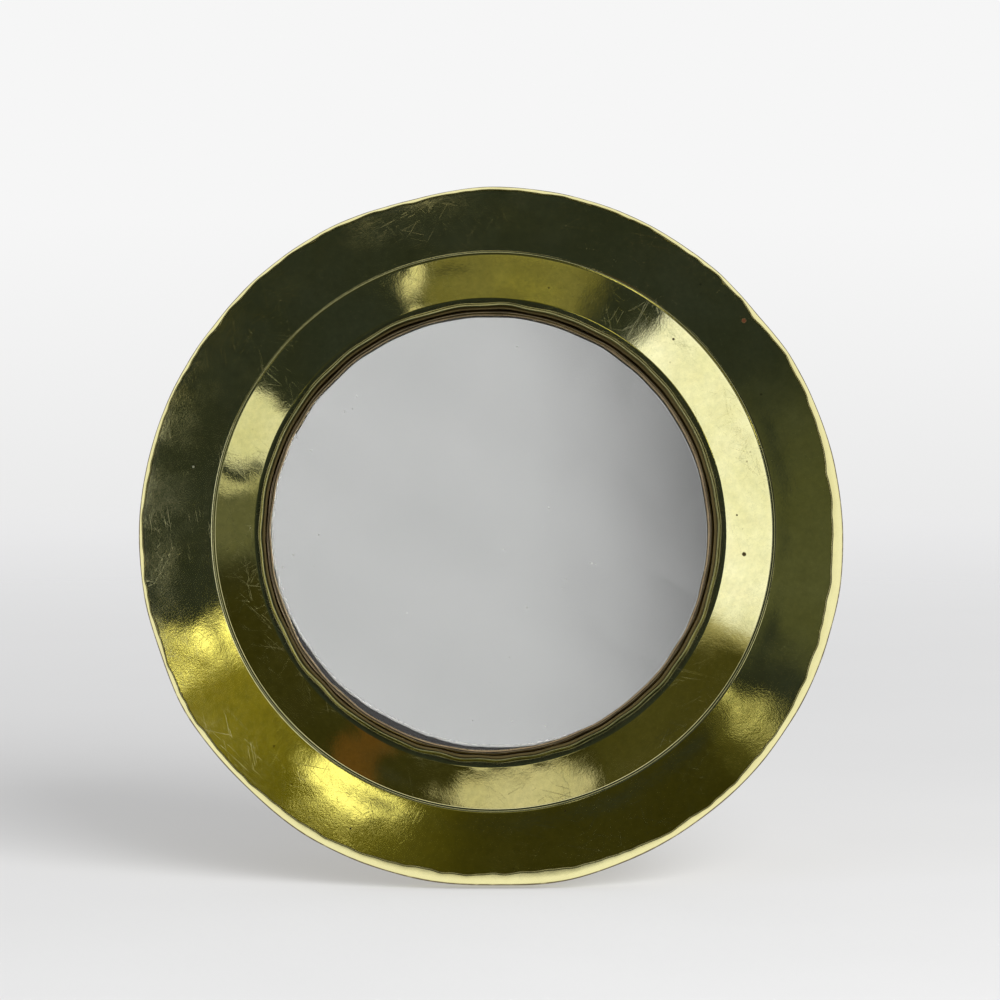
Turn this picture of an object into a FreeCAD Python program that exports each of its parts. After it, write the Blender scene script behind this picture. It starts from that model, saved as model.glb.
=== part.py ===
"""A barber's round brass hand mirror that stands on its rim, leaning back on a wire bail.

The mirror is made by a brazier from sheet: a raised front shell (lip, sloping wall, ridge and brim)
lies in a shallow back pan, whose edge is lapped over the brim and closed on an iron rim wire.
Between them lie the glass, its tin foil silvering, a felt pad, a packing ring and a board, held by
six bent tabs soldered inside the wall. Two riveted straps carry the bail, which is grip and prop
in one: its short toes turn up from the pivot and meet the back when the bail is open.

Every piece is drawn in the mirror's own frame, in millimetres: X to the viewer's right, Y up the
face, Z out of the face towards the viewer, with Z = 0 on the outside of the back. The stance at the
end leans them all back and sets them down on the floor, with +Z up and the face towards -Y.
"""
import FreeCAD, Part
import math
import os
import Sketcher

PARTS_FOLDER = "parts"

# Driving dimensions: alias, value in millimetres or degrees, what it is
SIZES = [
    ("outer_radius", 105.0, "outside of the rim"),
    ("front_gauge", 0.8, "thickness of the front sheet"),
    ("ridge_radius", 83.7, "circle of the raised ridge"),
    ("ridge_height", 15.6, "ridge above the back"),
    ("ridge_round", 1.1, "outside rounding of the ridge"),
    ("brim_drop", 5.4, "fall of the brim from the ridge to the rim"),
    ("brim_edge_gap", 0.8, "between the brim's edge and the skirt"),
    ("wall_foot_radius", 70.0, "circle where the wall meets the lip"),
    ("wall_foot_height", 9.35, "that circle above the back"),
    ("lip_crest_radius", 67.8, "highest circle of the rolled lip"),
    ("lip_crest_height", 10.0, "lip above the back"),
    ("lip_edge_radius", 66.5, "inner edge of the lip"),
    ("lip_edge_height", 9.45, "that edge above the back"),
    ("lip_round", 0.6, "rounding of the lip's crest"),
    ("pan_gauge", 0.7, "thickness of the back pan"),
    ("pan_bend_radius", 2.5, "outside of the bend between back and skirt"),
    ("lap_width", 3.0, "pan's edge lapped over the brim"),
    ("lap_bend_radius", 1.6, "outside of that bend"),
    ("lap_gap", 0.05, "between the lap and the brim"),
    ("foot_flat", 0.4, "depth of the flat worn on the rim where it stands"),
    ("rim_wire_radius", 1.2, "iron wire under the brim's edge"),
    ("rim_wire_gap", 0.05, "between that wire and the sheet"),
    ("tab_gauge", 0.5, "thickness of the glass tabs"),
    ("tab_gap", 0.05, "between a tab and what it holds"),
    ("tab_reach", 5.0, "bent end of a tab under the board"),
    ("tab_foot", 6.0, "soldered foot of a tab along the wall"),
    ("tab_sweep", 6.5, "width of a tab, in degrees"),
    ("tab_solder", 0.1, "solder between a tab and the wall"),
    ("tab_count", 6, "number of glass tabs"),
    ("board_radius", 73.5, "wooden backing board"),
    ("board_thickness", 3.4, "wooden backing board"),
    ("pad_radius", 72.0, "felt pad"),
    ("pad_thickness", 0.6, "felt pad"),
    ("foil_radius", 65.2, "tin foil silvering, short of the glass's edge"),
    ("foil_thickness", 0.1, "tin foil silvering"),
    ("foil_shift_right", 0.9, "foil laid off centre, to the right"),
    ("foil_shift_up", 1.0, "foil laid off centre, upwards"),
    ("glass_radius", 71.0, "hand-cut glass"),
    ("glass_thickness", 2.4, "hand-cut glass"),
    ("glass_gap", 0.15, "between the glass and the packing ring"),
    ("bezel_thickness", 1.0, "ring between lip and glass"),
    ("bezel_inner_radius", 64.7, "edge of the glass that shows"),
    ("bezel_outer_radius", 69.6, "outside of that ring"),
    ("bezel_round", 0.45, "rounding of its inner edge"),
    ("bezel_gap", 0.05, "between that ring and the lip"),
    ("pivot_height", 62.0, "bail's pivot above the mirror's centre"),
    ("bail_wire_radius", 2.0, "bail wire"),
    ("bail_bend_radius", 5.0, "bends of the bail, on the wire's centre line"),
    ("bail_gap", 0.3, "between the bail wire and the back"),
    ("toe_length", 15.0, "toe above the pivot"),
    ("foot_half_width", 24.0, "half the bail's foot, between leg centre lines"),
    ("foot_bend_radius", 9.0, "rounded corners of the bail's foot"),
    ("bail_angle", 20.0, "bail open, away from the back"),
    ("strap_centre", 34.0, "strap from the middle of the back"),
    ("strap_width", 10.0, "strap along the pivot"),
    ("strap_gauge", 0.9, "strap thickness"),
    ("strap_end_gap", 1.0, "between a strap and the bail's bends"),
    ("pivot_gap", 0.08, "running clearance of the bail in its straps"),
    ("rivet_pitch", 15.0, "between a strap's two rivets"),
    ("rivet_radius", 1.25, "rivet shank"),
    ("rivet_gap", 0.05, "rivet shank in its holes"),
    ("rivet_head_radius", 2.6, "domed head outside"),
    ("rivet_head_height", 1.5, "domed head outside"),
    ("strap_foot_margin", 1.0, "strap foot beyond the rivet head"),
    ("burr_radius", 2.8, "washer inside, under the clenched end"),
    ("burr_thickness", 0.6, "washer inside"),
    ("clench_radius", 2.0, "clenched end of a rivet"),
    ("clench_height", 0.9, "clenched end of a rivet"),
    ("pocket_gap", 0.4, "room in the board round a rivet's end"),
    ("lean", 10.0, "mirror leans back from upright"),
]

# Heights above the outside of the back, as formulas over the sheet, from the back forwards
BOARD_BACK = "( pan_gauge + tab_gauge + 2 * tab_gap )"
BOARD_FRONT = "( " + BOARD_BACK + " + board_thickness )"
PAD_FRONT = "( " + BOARD_FRONT + " + pad_thickness )"
FOIL_FRONT = "( " + PAD_FRONT + " + foil_thickness )"
GLASS_FRONT = "( " + FOIL_FRONT + " + glass_thickness )"
BEZEL_FRONT = "( " + GLASS_FRONT + " + bezel_thickness )"
LIP_UNDERSIDE = "( " + BEZEL_FRONT + " + bezel_gap )"

# Slopes of the front, as rise over run
WALL_SLOPE = "( ( ridge_height - wall_foot_height ) / ( ridge_radius - wall_foot_radius ) )"
BRIM_SLOPE = "( brim_drop / ( outer_radius - ridge_radius ) )"

SKIRT_INSIDE = "( outer_radius - pan_gauge )"
BRIM_EDGE = "( " + SKIRT_INSIDE + " - brim_edge_gap )"
PIVOT_DEPTH = "( bail_wire_radius + bail_gap )"

doc = FreeCAD.newDocument("barber_mirror")


def make_sheet():
    """The spreadsheet of driving dimensions, one row each: value, then what it is."""
    sheet = doc.addObject("Spreadsheet::Sheet", "Sizes")
    for row, (alias, value, meaning) in enumerate(SIZES, start=1):
        sheet.set("A%d" % row, str(value))
        sheet.setAlias("A%d" % row, alias)
        sheet.set("B%d" % row, meaning)
    doc.recompute()
    return sheet


sizes = make_sheet()
aliases = {alias for alias, _, _ in SIZES}


def size(alias):
    """A driving dimension's number."""
    return float(sizes.get(alias))


def of_sheet(formula):
    """Puts the sheet's name before each alias, so that an expression can use the formula."""
    words = formula.replace("(", " ( ").replace(")", " ) ").split()
    text = " ".join("Sizes." + word if word in aliases else word for word in words)
    for function in ("sqrt", "sin", "cos"):
        text = text.replace(function + " (", function + "(")
    return text


def value_of(formula):
    """A formula's number with the sheet as it stands."""
    return float(sizes.evalExpression(of_sheet(formula).replace("Sizes.", "")))


def wall_height(radius_formula):
    """Height of the wall's outer surface at a radius."""
    return "( wall_foot_height + " + WALL_SLOPE + " * ( " + radius_formula + " - wall_foot_radius ) )"


def wall_underside(radius_formula):
    """Height of the wall's inner surface at a radius."""
    return "( " + wall_height(radius_formula) + " - front_gauge )"


def brim_height(radius_formula):
    """Height of the brim's outer surface at a radius."""
    return "( ridge_height - " + BRIM_SLOPE + " * ( " + radius_formula + " - ridge_radius ) )"


def brim_underside(radius_formula):
    """Height of the brim's inner surface at a radius."""
    return "( " + brim_height(radius_formula) + " - front_gauge )"


def lap_underside(radius_formula):
    """Height of the lapped edge's inner surface at a radius."""
    return "( " + brim_height(radius_formula) + " + lap_gap )"


# Sketches and features

def origin_plane(body, role):
    """One of a body's own three origin planes."""
    return [f for f in body.Origin.OriginFeatures if f.Role == role][0]


def new_body(name):
    """An empty body whose label is its file's name."""
    body = doc.addObject("PartDesign::Body", name)
    body.Label = name
    return body


def new_sketch(body, name, plane, shift=None):
    """A sketch on one of the body's planes, moved along that plane's own axes by formulas."""
    sketch = body.newObject("Sketcher::SketchObject", body.Name + "_" + name)
    sketch.AttachmentSupport = [(origin_plane(body, plane), "")]
    sketch.MapMode = "FlatFace"
    for axis, formula in (shift or {}).items():
        sketch.setExpression("AttachmentOffset.Base." + axis, of_sheet(formula))
    return sketch


def hold(sketch, kind, geometry, corner, formula):
    """Ties one coordinate of a point, counted from the origin, to a formula over the sheet."""
    index = sketch.addConstraint(Sketcher.Constraint(kind, -1, 1, geometry, corner, value_of(formula)))
    sketch.setExpression("Constraints[%d]" % index, of_sheet(formula))


def draw_polygon(sketch, corners):
    """A closed outline whose corners are pairs of formulas."""
    points = [FreeCAD.Vector(value_of(x), value_of(y), 0) for x, y in corners]
    count = len(points)
    for i in range(count):
        sketch.addGeometry(Part.LineSegment(points[i], points[(i + 1) % count]), False)
    for i in range(count):
        sketch.addConstraint(Sketcher.Constraint("Coincident", i, 2, (i + 1) % count, 1))
    for i, (x, y) in enumerate(corners):
        hold(sketch, "DistanceX", i, 1, x)
        hold(sketch, "DistanceY", i, 1, y)


def draw_circle(sketch, x, y, radius):
    """A circle whose centre and radius are formulas."""
    centre = FreeCAD.Vector(value_of(x), value_of(y), 0)
    index = sketch.addGeometry(Part.Circle(centre, FreeCAD.Vector(0, 0, 1), value_of(radius)), False)
    hold(sketch, "DistanceX", index, 3, x)
    hold(sketch, "DistanceY", index, 3, y)
    tie = sketch.addConstraint(Sketcher.Constraint("Radius", index, value_of(radius)))
    sketch.setExpression("Constraints[%d]" % tie, of_sheet(radius))


def revolve(body, name, corners, shift=None, sweep=None):
    """Turns an outline of radius and height formulas round the body's Z."""
    sketch = new_sketch(body, name + "_outline", "XZ_Plane", shift)
    draw_polygon(sketch, corners)
    turned = body.newObject("PartDesign::Revolution", body.Name + "_" + name)
    turned.Profile = sketch
    turned.ReferenceAxis = (sketch, ["V_Axis"])
    turned.Angle = 360.0
    if sweep is not None:
        turned.setExpression("Angle", of_sheet(sweep))
        turned.Midplane = True
    doc.recompute()
    return turned


def pad(body, name, plane, draw, length, both_ways=False, shift=None):
    """Adds the extrusion of what draw puts on a sketch."""
    sketch = new_sketch(body, name + "_outline", plane, shift)
    draw(sketch)
    added = body.newObject("PartDesign::Pad", body.Name + "_" + name)
    added.Profile = sketch
    added.setExpression("Length", of_sheet(length))
    added.Midplane = both_ways
    doc.recompute()
    return added


def pocket(body, name, plane, draw, length, both_ways=False, shift=None, forwards=False):
    """Takes away the extrusion of what draw puts on a sketch."""
    sketch = new_sketch(body, name + "_outline", plane, shift)
    draw(sketch)
    cut = body.newObject("PartDesign::Pocket", body.Name + "_" + name)
    cut.Profile = sketch
    cut.setExpression("Length", of_sheet(length))
    cut.Midplane = both_ways
    cut.Reversed = forwards
    doc.recompute()
    return cut


def circle_edges(shape, radius, height):
    """Names of the full circles about Z at a radius and height."""
    names = []
    for i, edge in enumerate(shape.Edges, start=1):
        curve = edge.Curve
        if not isinstance(curve, Part.Circle):
            continue
        near_radius = abs(curve.Radius - radius) < 0.02
        near_height = abs(curve.Center.z - height) < 0.02
        if near_radius and near_height:
            names.append("Edge%d" % i)
    if not names:
        raise RuntimeError("no circle of radius %.3f at height %.3f" % (radius, height))
    return names


def round_circles(body, name, base, circles, radius):
    """Rounds the circles, given as pairs of radius and height formulas."""
    edges = []
    for circle_radius, circle_height in circles:
        edges += circle_edges(base.Shape, value_of(circle_radius), value_of(circle_height))
    rounding = body.newObject("PartDesign::Fillet", body.Name + "_" + name)
    rounding.Base = (base, edges)
    rounding.setExpression("Radius", of_sheet(radius))
    doc.recompute()
    return rounding


def disc_outline(radius, bottom, top, inner="0"):
    """A flat disc or ring as a half section."""
    return [(inner, bottom), (radius, bottom), (radius, top), (inner, top)]


# The floor the mirror stands on, as its distance from the mirror's centre

FLOOR_DISTANCE = (
    "( ( outer_radius - pan_bend_radius ) * cos ( lean ) + pan_bend_radius"
    " - pan_bend_radius * sin ( lean ) - foot_flat )"
)
RIVET_HEIGHTS = ["( pivot_height + rivet_pitch / 2 )", "( pivot_height - rivet_pitch / 2 )"]
STRAP_SIDES = ["strap_centre", "( 0 - strap_centre )"]
RIVET_PLACES = [(x, y) for x in STRAP_SIDES for y in RIVET_HEIGHTS]


# Sheet work

def make_front_shell():
    """The raised front: rolled lip, wall up to the ridge, brim down to the rim."""
    body = new_body("front_shell")
    underside_rise = "( " + LIP_UNDERSIDE + " - wall_foot_height + front_gauge )"
    underside_start = "( wall_foot_radius + " + underside_rise + " / " + WALL_SLOPE + " )"
    shell = revolve(body, "sheet", [
        ("lip_edge_radius", LIP_UNDERSIDE),
        (underside_start, LIP_UNDERSIDE),
        ("ridge_radius", "( ridge_height - front_gauge )"),
        (BRIM_EDGE, brim_underside(BRIM_EDGE)),
        (BRIM_EDGE, brim_height(BRIM_EDGE)),
        ("ridge_radius", "ridge_height"),
        ("wall_foot_radius", "wall_foot_height"),
        ("lip_crest_radius", "lip_crest_height"),
        ("lip_edge_radius", "lip_edge_height"),
    ])
    ridge = round_circles(body, "ridge_rounding", shell, [("ridge_radius", "ridge_height")], "ridge_round")
    round_circles(body, "lip_rounding", ridge, [("lip_crest_radius", "lip_crest_height")], "lip_round")
    return body


def make_back_pan():
    """Flat back, skirt and the edge lapped over the brim, with rivet holes and the worn foot."""
    body = new_body("back_pan")
    lap_end = "( outer_radius - lap_width )"
    corner_height = "( " + lap_underside("outer_radius") + " + pan_gauge )"
    end_height = "( " + lap_underside(lap_end) + " + pan_gauge )"
    sheet = revolve(body, "sheet", [
        ("0", "0"),
        ("outer_radius", "0"),
        ("outer_radius", corner_height),
        (lap_end, end_height),
        (lap_end, lap_underside(lap_end)),
        (SKIRT_INSIDE, lap_underside(SKIRT_INSIDE)),
        (SKIRT_INSIDE, "pan_gauge"),
        ("0", "pan_gauge"),
    ])
    bend = round_circles(body, "bend", sheet, [("outer_radius", "0")], "pan_bend_radius")
    bend = round_circles(body, "bend_inside", bend, [(SKIRT_INSIDE, "pan_gauge")],
                         "( pan_bend_radius - pan_gauge )")
    bend = round_circles(body, "lap_bend", bend, [("outer_radius", corner_height)], "lap_bend_radius")
    round_circles(body, "lap_bend_inside", bend, [(SKIRT_INSIDE, lap_underside(SKIRT_INSIDE))],
                  "( lap_bend_radius - pan_gauge )")

    def draw_holes(sketch):
        for x, y in RIVET_PLACES:
            draw_circle(sketch, x, y, "( rivet_radius + rivet_gap )")

    pocket(body, "rivet_holes", "XY_Plane", draw_holes, "( 4 * pan_gauge )", both_ways=True)

    # Region below the floor, drawn in the plane of Y and Z
    def draw_floor(sketch):
        reach = "( 12 * cos ( lean ) )"
        rise = "( 12 * sin ( lean ) )"
        middle_y = "( 0 - " + FLOOR_DISTANCE + " * cos ( lean ) )"
        middle_z = "( 0 - " + FLOOR_DISTANCE + " * sin ( lean ) )"
        far_y = "( 0 - ( " + FLOOR_DISTANCE + " + 12 ) * cos ( lean ) )"
        far_z = "( 0 - ( " + FLOOR_DISTANCE + " + 12 ) * sin ( lean ) )"
        front = "( 40 / 12 )"
        draw_polygon(sketch, [
            (middle_y + " - " + rise + " * " + front, middle_z + " + " + reach + " * " + front),
            (middle_y + " + " + rise, middle_z + " - " + reach),
            (far_y + " + " + rise, far_z + " - " + reach),
            (far_y + " - " + rise + " * " + front, far_z + " + " + reach + " * " + front),
        ])

    pocket(body, "worn_foot", "YZ_Plane", draw_floor, "( 2 * outer_radius )", both_ways=True)
    return body


def make_rim_wire():
    """Iron wire ring in the corner between the brim's edge and the skirt."""
    ring = doc.addObject("Part::Torus", "rim_wire")
    ring.Label = "rim_wire"
    centre_radius = "( " + SKIRT_INSIDE + " - rim_wire_gap - rim_wire_radius )"
    ring.setExpression("Radius1", of_sheet(centre_radius))
    ring.setExpression("Radius2", of_sheet("rim_wire_radius"))
    slant = "sqrt ( 1 + " + BRIM_SLOPE + " * " + BRIM_SLOPE + " )"
    height = brim_underside(centre_radius) + " - ( rim_wire_radius + rim_wire_gap ) * " + slant
    return ring, {"z": height}


def make_bezel_ring():
    """Thin ring between the lip and the glass, showing just inside the lip."""
    body = new_body("bezel_ring")
    ring = revolve(body, "ring", disc_outline("bezel_outer_radius", GLASS_FRONT, BEZEL_FRONT,
                                              inner="bezel_inner_radius"))
    round_circles(body, "bead", ring, [("bezel_inner_radius", BEZEL_FRONT)], "bezel_round")
    return body


def make_glass_tabs():
    """Six strips soldered under the wall, bent down past the board and in beneath it."""
    body = new_body("glass_tabs")
    inside = "( board_radius + tab_gap )"
    outside = "( board_radius + tab_gap + tab_gauge )"
    foot_end = "( " + outside + " + tab_foot )"
    bottom = "( pan_gauge + tab_gap )"
    tab = revolve(body, "tab", [
        (inside + " - tab_reach", bottom),
        (outside, bottom),
        (outside, wall_underside(outside) + " - tab_gauge - tab_solder"),
        (foot_end, wall_underside(foot_end) + " - tab_gauge - tab_solder"),
        (foot_end, wall_underside(foot_end) + " - tab_solder"),
        (inside, wall_underside(inside) + " - tab_solder"),
        (inside, bottom + " + tab_gauge"),
        (inside + " - tab_reach", bottom + " + tab_gauge"),
    ], sweep="tab_sweep")
    pattern = body.newObject("PartDesign::PolarPattern", "glass_tabs_pattern")
    pattern.Originals = [tab]
    pattern.Axis = (origin_plane(body, "Z_Axis"), [""])
    pattern.Angle = 360
    pattern.setExpression("Occurrences", of_sheet("tab_count"))
    body.Tip = pattern
    doc.recompute()
    return body


# Glass and what backs it

def make_glass():
    body = new_body("glass")
    revolve(body, "plate", disc_outline("glass_radius", FOIL_FRONT, GLASS_FRONT))
    return body


def make_silvering():
    """Foil laid a little off centre, so that a sliver of bare glass shows at the lower left."""
    body = new_body("silvering")

    def draw_foil(sketch):
        draw_circle(sketch, "foil_shift_right", "foil_shift_up", "foil_radius")

    pad(body, "foil", "XY_Plane", draw_foil, "foil_thickness", shift={"z": PAD_FRONT})
    return body


def make_felt_pad():
    body = new_body("felt_pad")
    revolve(body, "disc", disc_outline("pad_radius", BOARD_FRONT, PAD_FRONT))
    return body


def make_packing_ring():
    """Wooden ring that centres the glass inside the tabs."""
    body = new_body("packing_ring")
    revolve(body, "ring", disc_outline("board_radius", PAD_FRONT, GLASS_FRONT,
                                       inner="( glass_radius + glass_gap )"))
    return body


def make_backing_board():
    """Board behind the glass, with two pockets over the lower rivets' inner ends."""
    body = new_body("backing_board")
    revolve(body, "disc", disc_outline("board_radius", BOARD_BACK, BOARD_FRONT))
    depth = "( pan_gauge + burr_thickness + clench_height + pocket_gap )"

    def draw_pockets(sketch):
        for x in STRAP_SIDES:
            draw_circle(sketch, x, RIVET_HEIGHTS[1], "( burr_radius + pocket_gap )")

    pocket(body, "rivet_pockets", "XY_Plane", draw_pockets, depth, forwards=True)
    return body


# Bail, straps and rivets

def make_strap(name, side):
    """A saddle strap: two feet on the back and a bore for the bail wire between them."""
    body = new_body(name)
    foot_half = "( rivet_pitch / 2 + rivet_head_radius + strap_foot_margin )"
    bore = "( bail_wire_radius + pivot_gap )"
    hump = "( bail_wire_radius + pivot_gap + strap_gauge )"
    at_side = {"z": side}

    def draw_feet(sketch):
        draw_polygon(sketch, [
            ("pivot_height - " + foot_half, "0"),
            ("pivot_height - " + foot_half, "0 - strap_gauge"),
            ("pivot_height - " + hump, "0 - strap_gauge"),
            ("pivot_height - " + hump, "0 - " + PIVOT_DEPTH),
            ("pivot_height + " + hump, "0 - " + PIVOT_DEPTH),
            ("pivot_height + " + hump, "0 - strap_gauge"),
            ("pivot_height + " + foot_half, "0 - strap_gauge"),
            ("pivot_height + " + foot_half, "0"),
        ])

    def draw_hump(sketch):
        draw_circle(sketch, "pivot_height", "0 - " + PIVOT_DEPTH, hump)

    def draw_bore(sketch):
        draw_circle(sketch, "pivot_height", "0 - " + PIVOT_DEPTH, bore)

    def draw_slot(sketch):
        draw_polygon(sketch, [
            ("pivot_height - " + bore, "1"),
            ("pivot_height - " + bore, "0 - " + PIVOT_DEPTH),
            ("pivot_height + " + bore, "0 - " + PIVOT_DEPTH),
            ("pivot_height + " + bore, "1"),
        ])

    def draw_above(sketch):
        reach = "( 2 * " + hump + " )"
        draw_polygon(sketch, [
            ("pivot_height - " + reach, "0"),
            ("pivot_height + " + reach, "0"),
            ("pivot_height + " + reach, reach),
            ("pivot_height - " + reach, reach),
        ])

    def draw_holes(sketch):
        for y in RIVET_HEIGHTS:
            draw_circle(sketch, side, y, "( rivet_radius + rivet_gap )")

    through = "( 2 * strap_width )"
    pad(body, "feet", "YZ_Plane", draw_feet, "strap_width", both_ways=True, shift=at_side)
    pad(body, "hump", "YZ_Plane", draw_hump, "strap_width", both_ways=True, shift=at_side)
    pocket(body, "bore", "YZ_Plane", draw_bore, through, both_ways=True, shift=at_side)
    pocket(body, "slot", "YZ_Plane", draw_slot, through, both_ways=True, shift=at_side)
    pocket(body, "flat_sole", "YZ_Plane", draw_above, through, both_ways=True, shift=at_side)
    pocket(body, "rivet_holes", "XY_Plane", draw_holes, "( 4 * strap_gauge )", both_ways=True)
    return body


def make_rivets():
    """Four rivets through strap and back: domed outside, clenched over a washer inside."""
    body = new_body("rivets")
    under_head = "( 0 - strap_gauge )"
    clench = "( pan_gauge + burr_thickness )"
    for number, (x, y) in enumerate(RIVET_PLACES, start=1):
        outline = [
            ("0", under_head + " - rivet_head_height"),
            ("( rivet_head_radius * 0.55 )", under_head + " - rivet_head_height"),
            ("( rivet_head_radius * 0.9 )", under_head + " - rivet_head_height * 0.55"),
            ("rivet_head_radius", under_head),
            ("rivet_radius", under_head),
            ("rivet_radius", clench),
            ("clench_radius", clench),
            ("( clench_radius * 0.7 )", clench + " + clench_height"),
            ("0", clench + " + clench_height"),
        ]
        revolve(body, "rivet_%d" % number, outline, shift={"x": x, "z": "0 - " + y})
    return body


def make_rivet_burrs():
    """Four washers between the back and the rivets' clenched ends."""
    body = new_body("rivet_burrs")
    for number, (x, y) in enumerate(RIVET_PLACES, start=1):
        outline = disc_outline("burr_radius", "pan_gauge", "( pan_gauge + burr_thickness )",
                               inner="( rivet_radius + rivet_gap )")
        revolve(body, "burr_%d" % number, outline, shift={"x": x, "z": "0 - " + y})
    return body


def bail_length():
    """Pivot to foot bar along the leg, so that the open bail stands on the floor."""
    lean = math.radians(size("lean"))
    spread = math.radians(size("bail_angle")) - lean
    depth = value_of(PIVOT_DEPTH)
    pivot_rise = value_of(FLOOR_DISTANCE) + size("pivot_height") * math.cos(lean) - depth * math.sin(lean)
    return (pivot_rise - size("bail_wire_radius")) / math.cos(spread)


def rounded_path(points, radii):
    """A wire through the points with each corner between them rounded to its radius."""
    edges = []
    start = points[0]
    for before, corner, after, radius in zip(points, points[1:], points[2:], radii):
        towards = (before - corner).normalize()
        away = (after - corner).normalize()
        half_angle = math.acos(towards.dot(away)) / 2.0
        reach = radius / math.tan(half_angle)
        arc_start = corner + towards * reach
        arc_end = corner + away * reach
        middle = (towards + away).normalize() * (radius / math.sin(half_angle) - radius)
        edges.append(Part.LineSegment(start, arc_start).toShape())
        edges.append(Part.Arc(arc_start, corner + middle, arc_end).toShape())
        start = arc_end
    edges.append(Part.LineSegment(start, points[-1]).toShape())
    return Part.Wire(edges)


def make_bail():
    """Bent wire: toe, pivot, leg, foot bar, and the same again on the other side.

    The toes lie along the back while the legs stand off it by the bail's angle, so the path turns
    out of one plane at each pivot and no flat sketch can hold it.
    """
    angle = math.radians(size("bail_angle"))
    length = bail_length()
    depth = value_of(PIVOT_DEPTH)
    bend_reach = size("bail_bend_radius") + size("strap_end_gap") + size("strap_width") / 2.0
    toe_x = size("strap_centre") - bend_reach
    leg_x = size("strap_centre") + bend_reach
    foot_x = size("foot_half_width")
    pivot_y = size("pivot_height")
    foot_y = pivot_y - length * math.cos(angle)
    foot_z = -depth - length * math.sin(angle)

    def side(sign):
        toe = FreeCAD.Vector(sign * toe_x, pivot_y + size("toe_length"), -depth)
        pivot_in = FreeCAD.Vector(sign * toe_x, pivot_y, -depth)
        pivot_out = FreeCAD.Vector(sign * leg_x, pivot_y, -depth)
        foot = FreeCAD.Vector(sign * foot_x, foot_y, foot_z)
        return [toe, pivot_in, pivot_out, foot]

    points = side(-1.0) + side(1.0)[::-1]
    bend = size("bail_bend_radius")
    corner = size("foot_bend_radius")
    path = rounded_path(points, [bend, bend, corner, corner, bend, bend])
    circle = Part.Circle(points[0], FreeCAD.Vector(0, 1, 0), size("bail_wire_radius"))
    section = Part.Wire([circle.toShape()])
    wire = doc.addObject("Part::Feature", "bail")
    wire.Label = "bail"
    wire.Shape = path.makePipeShell([section], True, True)
    return wire


# Everything, in order from the front backwards

pieces = [
    make_front_shell(),
    make_bezel_ring(),
    make_glass(),
    make_silvering(),
    make_packing_ring(),
    make_felt_pad(),
    make_backing_board(),
    make_glass_tabs(),
    make_back_pan(),
    make_strap("bail_strap_right", STRAP_SIDES[0]),
    make_strap("bail_strap_left", STRAP_SIDES[1]),
    make_rivets(),
    make_rivet_burrs(),
    make_bail(),
]
rim_wire, rim_wire_shift = make_rim_wire()
pieces.append(rim_wire)
doc.recompute()


def stance(forward_shift, local=None):
    """Lean and height shared by every piece, after a piece's own shift in the mirror's frame."""
    turn = FreeCAD.Rotation(FreeCAD.Vector(1, 0, 0), 90.0 - size("lean"))
    base = FreeCAD.Vector(0, forward_shift, value_of(FLOOR_DISTANCE))
    return FreeCAD.Placement(base, turn) * FreeCAD.Placement(local or FreeCAD.Vector(), FreeCAD.Rotation())


def set_stance(forward_shift):
    """Gives every piece its place in the shared frame."""
    for piece in pieces:
        local = FreeCAD.Vector()
        if piece is rim_wire:
            local = FreeCAD.Vector(0, 0, value_of(rim_wire_shift["z"]))
        piece.Placement = stance(forward_shift, local)
    doc.recompute()


set_stance(0.0)
fronts = [piece.Shape.optimalBoundingBox(False, False).YMin for piece in pieces]
backs = [piece.Shape.optimalBoundingBox(False, False).YMax for piece in pieces]
set_stance(-(min(fronts) + max(backs)) / 2.0)


def check_document():
    """Stops on any object that failed and on any empty or unsound shape."""
    for thing in doc.Objects:
        for word in thing.State:
            if word in ("Invalid", "Error"):
                raise RuntimeError("%s is %s" % (thing.Name, word))
    for piece in pieces:
        if piece.Shape.isNull() or not piece.Shape.isValid():
            raise RuntimeError("%s has no sound shape" % piece.Label)


check_document()
os.makedirs(PARTS_FOLDER, exist_ok=True)
for piece in pieces:
    piece.Shape.exportStep(PARTS_FOLDER + "/" + piece.Label + ".step")
    box = piece.Shape.BoundBox
    print("%-18s solids %d volume %9.1f  x %.1f..%.1f y %.1f..%.1f z %.2f..%.1f" % (
        piece.Label, len(piece.Shape.Solids), piece.Shape.Volume,
        box.XMin, box.XMax, box.YMin, box.YMax, box.ZMin, box.ZMax))
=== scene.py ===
"""A round brass hand mirror on its wire bail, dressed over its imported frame.

The front shell, the back pan and the rim's wire, the bead ring, the glass and its foil are worked
out here as surfaces of two parameters, with the unevenness that a hammer and shears leave. The bail,
its straps and rivets and the hidden pieces keep the frame's own shapes and get their finishes here.
"""
import math

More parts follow.
